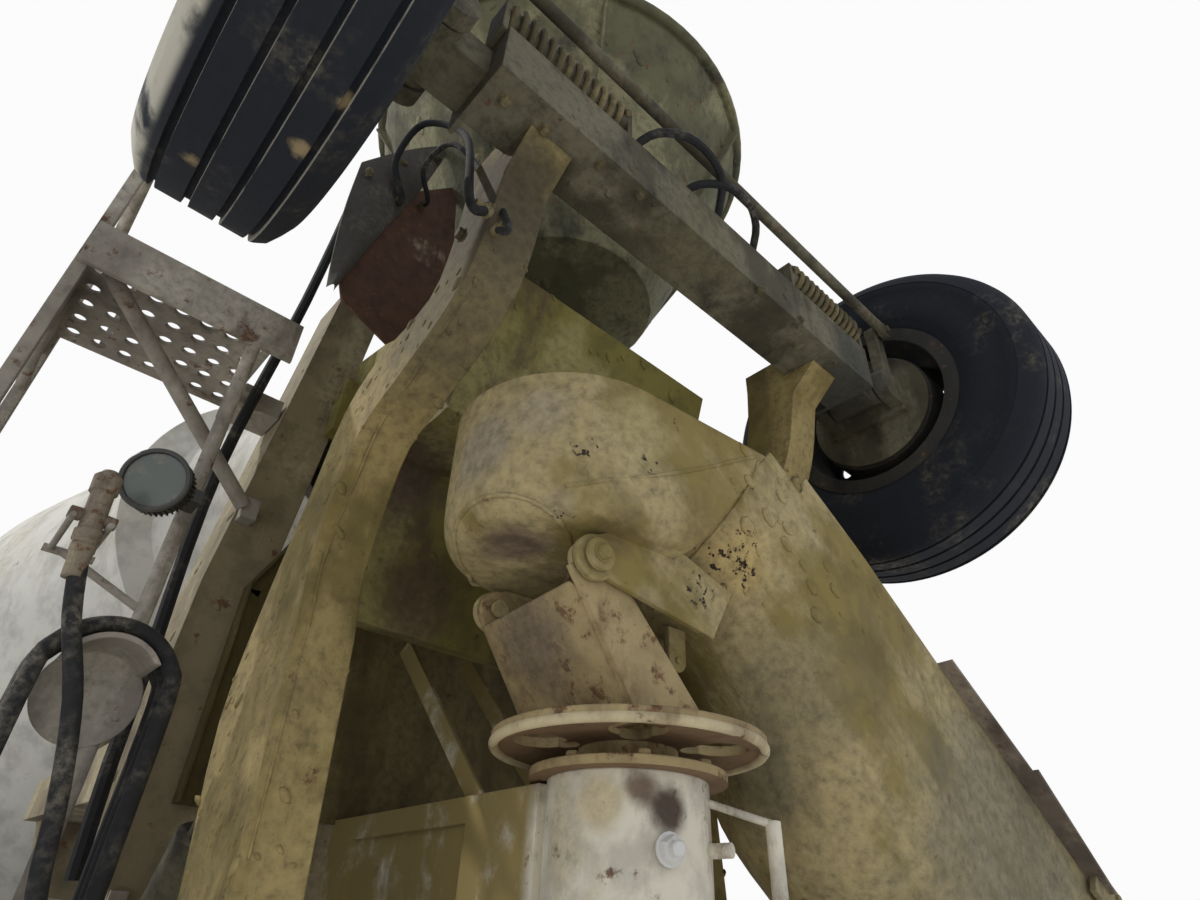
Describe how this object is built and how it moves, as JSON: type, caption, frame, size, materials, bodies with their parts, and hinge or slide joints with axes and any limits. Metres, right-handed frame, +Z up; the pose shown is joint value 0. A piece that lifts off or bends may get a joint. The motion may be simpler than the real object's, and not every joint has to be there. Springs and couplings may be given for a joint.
{
  "type": "concrete mixer truck",
  "caption": "Rear-discharge concrete mixer truck with a hollow drum, charge hopper, folded chute and raised booster axle",
  "frame": {"origin": "bottom centre of the truck, on the road under its middle", "axes": "+Z up, the truck's rear is +Y, its left side is +X"},
  "size_m": [3, 9.4999, 4],
  "materials": {
    "chassis_frame": "dusty black paint",
    "front_bumper": "bright metal",
    "engine_block": "grey paint",
    "front_axle": "dirty black paint",
    "drive_axles": "dirty black paint",
    "tanks": "bright metal",
    "drum_pedestals": "tan paint caked with concrete",
    "platform": "tan paint, worn and dusty",
    "collector": "olive paint caked with concrete",
    "charge_hopper": "dark olive paint, caked",
    "chute_post": "dirty white paint with rust",
    "rear_fenders": "black",
    "lamps": "lamp lenses and brackets",
    "exhaust_stack": "dull metal",
    "booster_arms": "tan paint caked with concrete",
    "booster_axle": "olive brown, caked",
    "booster_cylinders": "dirty paint",
    "fixed_hoses": "dusty black hose",
    "wash_hose": "black hose, dusty",
    "wash_nozzle": "worn metal",
    "cab_shell": "white paint",
    "cab_glass": "clear glass",
    "cab_interior": "dark trim and seats",
    "mirrors": "black",
    "door_left": "white paint",
    "door_right": "white paint",
    "door_glass_left": "clear glass",
    "door_glass_right": "clear glass",
    "hood": "white paint",
    "grille": "bright metal",
    "knuckle_front_left": "dirty black paint",
    "knuckle_front_right": "dirty black paint",
    "front_tie_rod": "dirty black paint",
    "knuckle_booster_left": "caked brown",
    "knuckle_booster_right": "caked brown",
    "booster_tie_rod": "caked brown",
    "drum": "cream white paint, dusty",
    "roller_left": "worn, rusty steel",
    "roller_right": "worn, rusty steel",
    "chute_swivel": "cream paint with rust",
    "main_chute": "tan paint caked with concrete",
    "fold_chute": "olive paint caked with concrete",
    "lift_barrel": "yellow paint, dirty",
    "lift_rod": "polished rod",
    "tyre_front_left": "dusty black rubber",
    "tyre_front_right": "dusty black rubber",
    "rim_front_left": "dull metal, dusty",
    "rim_front_right": "dull metal, dusty",
    "tyre_booster_left": "dusty black rubber",
    "tyre_booster_right": "dusty black rubber",
    "rim_booster_left": "dull metal, dusty",
    "rim_booster_right": "dull metal, dusty",
    "tyres_drive_1_left": "dusty black rubber",
    "tyres_drive_1_right": "dusty black rubber",
    "tyres_drive_2_left": "dusty black rubber",
    "tyres_drive_2_right": "dusty black rubber",
    "rims_drive_1_left": "dull metal, dusty",
    "rims_drive_1_right": "dull metal, dusty",
    "rims_drive_2_left": "dull metal, dusty",
    "rims_drive_2_right": "dull metal, dusty"
  },
  "bodies": {
    "chassis": {"chassis_frame": "chassis_frame", "front_bumper": "front_bumper", "engine_block": "engine_block", "front_axle": "front_axle", "drive_axles": "drive_axles", "tanks": "tanks", "drum_pedestals": "drum_pedestals", "platform": "platform", "collector": "collector", "charge_hopper": "charge_hopper", "chute_post": "chute_post", "rear_fenders": "rear_fenders", "lamps": "lamps", "exhaust_stack": "exhaust_stack", "booster_arms": "booster_arms", "booster_axle": "booster_axle", "booster_cylinders": "booster_cylinders", "fixed_hoses": "fixed_hoses", "wash_hose": "wash_hose", "wash_nozzle": "wash_nozzle", "cab_shell": "cab_shell", "cab_glass": "cab_glass", "cab_interior": "cab_interior", "mirrors": "mirrors"},
    "door_left": {"door_left": "door_left", "door_glass_left": "door_glass_left"},
    "door_right": {"door_right": "door_right", "door_glass_right": "door_glass_right"},
    "hood": {"hood": "hood", "grille": "grille"},
    "steer_front_left": {"knuckle_front_left": "knuckle_front_left"},
    "steer_front_right": {"knuckle_front_right": "knuckle_front_right"},
    "front_tie_rod": {"front_tie_rod": "front_tie_rod"},
    "steer_booster_left": {"knuckle_booster_left": "knuckle_booster_left"},
    "steer_booster_right": {"knuckle_booster_right": "knuckle_booster_right"},
    "booster_tie_rod": {"booster_tie_rod": "booster_tie_rod"},
    "drum": {"drum": "drum"},
    "roller_left": {"roller_left": "roller_left"},
    "roller_right": {"roller_right": "roller_right"},
    "chute_swivel": {"chute_swivel": "chute_swivel"},
    "main_chute": {"main_chute": "main_chute"},
    "fold_chute": {"fold_chute": "fold_chute"},
    "lift_barrel": {"lift_barrel": "lift_barrel"},
    "lift_rod": {"lift_rod": "lift_rod"},
    "wheel_front_left": {"tyre_front_left": "tyre_front_left", "rim_front_left": "rim_front_left"},
    "wheel_booster_left": {"tyre_booster_left": "tyre_booster_left", "rim_booster_left": "rim_booster_left"},
    "wheels_drive_1_left": {"tyres_drive_1_left": "tyres_drive_1_left", "rims_drive_1_left": "rims_drive_1_left"},
    "wheels_drive_2_left": {"tyres_drive_2_left": "tyres_drive_2_left", "rims_drive_2_left": "rims_drive_2_left"},
    "wheel_front_right": {"tyre_front_right": "tyre_front_right", "rim_front_right": "rim_front_right"},
    "wheel_booster_right": {"tyre_booster_right": "tyre_booster_right", "rim_booster_right": "rim_booster_right"},
    "wheels_drive_1_right": {"tyres_drive_1_right": "tyres_drive_1_right", "rims_drive_1_right": "rims_drive_1_right"},
    "wheels_drive_2_right": {"tyres_drive_2_right": "tyres_drive_2_right", "rims_drive_2_right": "rims_drive_2_right"}
  },
  "joints": [
    {"name": "spin_front_left", "type": "hinge", "parent": "steer_front_left", "child": "wheel_front_left", "pos_m": [1.03, -3.735, 0.52], "axis": [1, 0, 0], "continuous": true},
    {"name": "spin_booster_left", "type": "hinge", "parent": "steer_booster_left", "child": "wheel_booster_left", "pos_m": [1.016, 4.215, 2.917], "axis": [1, 0, 0], "continuous": true},
    {"name": "spin_drive_1_left", "type": "hinge", "parent": "chassis", "child": "wheels_drive_1_left", "pos_m": [0.93, 1.33, 0.52], "axis": [1, 0, 0], "continuous": true},
    {"name": "spin_drive_2_left", "type": "hinge", "parent": "chassis", "child": "wheels_drive_2_left", "pos_m": [0.93, 2.7, 0.52], "axis": [1, 0, 0], "continuous": true},
    {"name": "steer_front_left", "type": "hinge", "parent": "chassis", "child": "steer_front_left", "pos_m": [0.82, -3.735, 0.52], "axis": [0, 0, 1], "range_deg": [-32, 32]},
    {"name": "steer_booster_left", "type": "hinge", "parent": "chassis", "child": "steer_booster_left", "pos_m": [0.82, 4.215, 2.917], "axis": [0, -1, 0], "range_deg": [-12, 12]},
    {"name": "spin_front_right", "type": "hinge", "parent": "steer_front_right", "child": "wheel_front_right", "pos_m": [-1.03, -3.735, 0.52], "axis": [1, 0, 0], "continuous": true},
    {"name": "spin_booster_right", "type": "hinge", "parent": "steer_booster_right", "child": "wheel_booster_right", "pos_m": [-1.016, 4.215, 2.917], "axis": [1, 0, 0], "continuous": true},
    {"name": "spin_drive_1_right", "type": "hinge", "parent": "chassis", "child": "wheels_drive_1_right", "pos_m": [-0.93, 1.33, 0.52], "axis": [1, 0, 0], "continuous": true},
    {"name": "spin_drive_2_right", "type": "hinge", "parent": "chassis", "child": "wheels_drive_2_right", "pos_m": [-0.93, 2.7, 0.52], "axis": [1, 0, 0], "continuous": true},
    {"name": "steer_front_right", "type": "hinge", "parent": "chassis", "child": "steer_front_right", "pos_m": [-0.82, -3.735, 0.52], "axis": [0, 0, 1], "range_deg": [-32, 32]},
    {"name": "steer_booster_right", "type": "hinge", "parent": "chassis", "child": "steer_booster_right", "pos_m": [-0.82, 4.215, 2.917], "axis": [0, -1, 0], "range_deg": [-12, 12]},
    {"name": "front_tie_rod", "type": "hinge", "parent": "steer_front_left", "child": "front_tie_rod", "pos_m": [0.82, -3.525, 0.376], "axis": [0, 0, 1], "range_deg": [-32, 32]},
    {"name": "booster_tie_rod", "type": "hinge", "parent": "steer_booster_left", "child": "booster_tie_rod", "pos_m": [0.82, 4.359, 3.127], "axis": [0, -1, 0], "range_deg": [-12, 12]},
    {"name": "drum_spin", "type": "hinge", "parent": "chassis", "child": "drum", "pos_m": [0, 0.66374, 2.4299], "axis": [0, 0.9744, 0.225], "continuous": true},
    {"name": "roller_left", "type": "hinge", "parent": "chassis", "child": "roller_left", "pos_m": [0.56044, 2.26717, 2.06389], "axis": [0, 0.9744, 0.225], "continuous": true},
    {"name": "roller_right", "type": "hinge", "parent": "chassis", "child": "roller_right", "pos_m": [-0.56044, 2.26717, 2.06389], "axis": [0, 0.9744, 0.225], "continuous": true},
    {"name": "door_left", "type": "hinge", "parent": "chassis", "child": "door_left", "pos_m": [1.062, -3.165, 1.865], "axis": [0, 0, -1], "range_deg": [0, 70]},
    {"name": "door_right", "type": "hinge", "parent": "chassis", "child": "door_right", "pos_m": [-1.062, -3.165, 1.865], "axis": [0, 0, 1], "range_deg": [0, 70]},
    {"name": "hood_tilt", "type": "hinge", "parent": "chassis", "child": "hood", "pos_m": [0, -4.64, 0.85], "axis": [1, 0, 0], "range_deg": [0, 65]},
    {"name": "chute_swing", "type": "hinge", "parent": "chassis", "child": "chute_swivel", "pos_m": [0, 3.995, 1.7], "axis": [0, 0, -1], "range_deg": [0, 156]},
    {"name": "chute_lift", "type": "hinge", "parent": "chute_swivel", "child": "main_chute", "pos_m": [0.22912, 3.97495, 1.98], "axis": [0.0872, 0.9962, 0], "range_deg": [-3, 2]},
    {"name": "chute_fold", "type": "hinge", "parent": "main_chute", "child": "fold_chute", "pos_m": [-1.36485, 4.11441, 1.54205], "axis": [-0.0872, -0.9962, 0], "range_deg": [0, 180]},
    {"name": "lift_barrel", "type": "hinge", "parent": "chute_swivel", "child": "lift_barrel", "pos_m": [-0.09962, 4.00372, 1.782], "axis": [0.0872, 0.9962, 0], "range_deg": [-2, 5]},
    {"name": "lift_rod", "type": "slide", "parent": "lift_barrel", "child": "lift_rod", "axis": [0, 0, 1], "range_m": [-0.05, 0.02]}
  ],
  "couplings": [
    {"joint": "steer_front_right", "follows": "steer_front_left", "ratio": 1},
    {"joint": "front_tie_rod", "follows": "steer_front_left", "ratio": -1},
    {"joint": "steer_booster_right", "follows": "steer_booster_left", "ratio": 1},
    {"joint": "booster_tie_rod", "follows": "steer_booster_left", "ratio": -1},
    {"joint": "roller_left", "follows": "drum_spin", "ratio": -7.2727},
    {"joint": "roller_right", "follows": "drum_spin", "ratio": -7.2727},
    {"joint": "lift_barrel", "follows": "chute_lift", "ratio": -0.5},
    {"joint": "lift_rod", "follows": "chute_lift", "m_per_rad": 0.33}
  ]
}
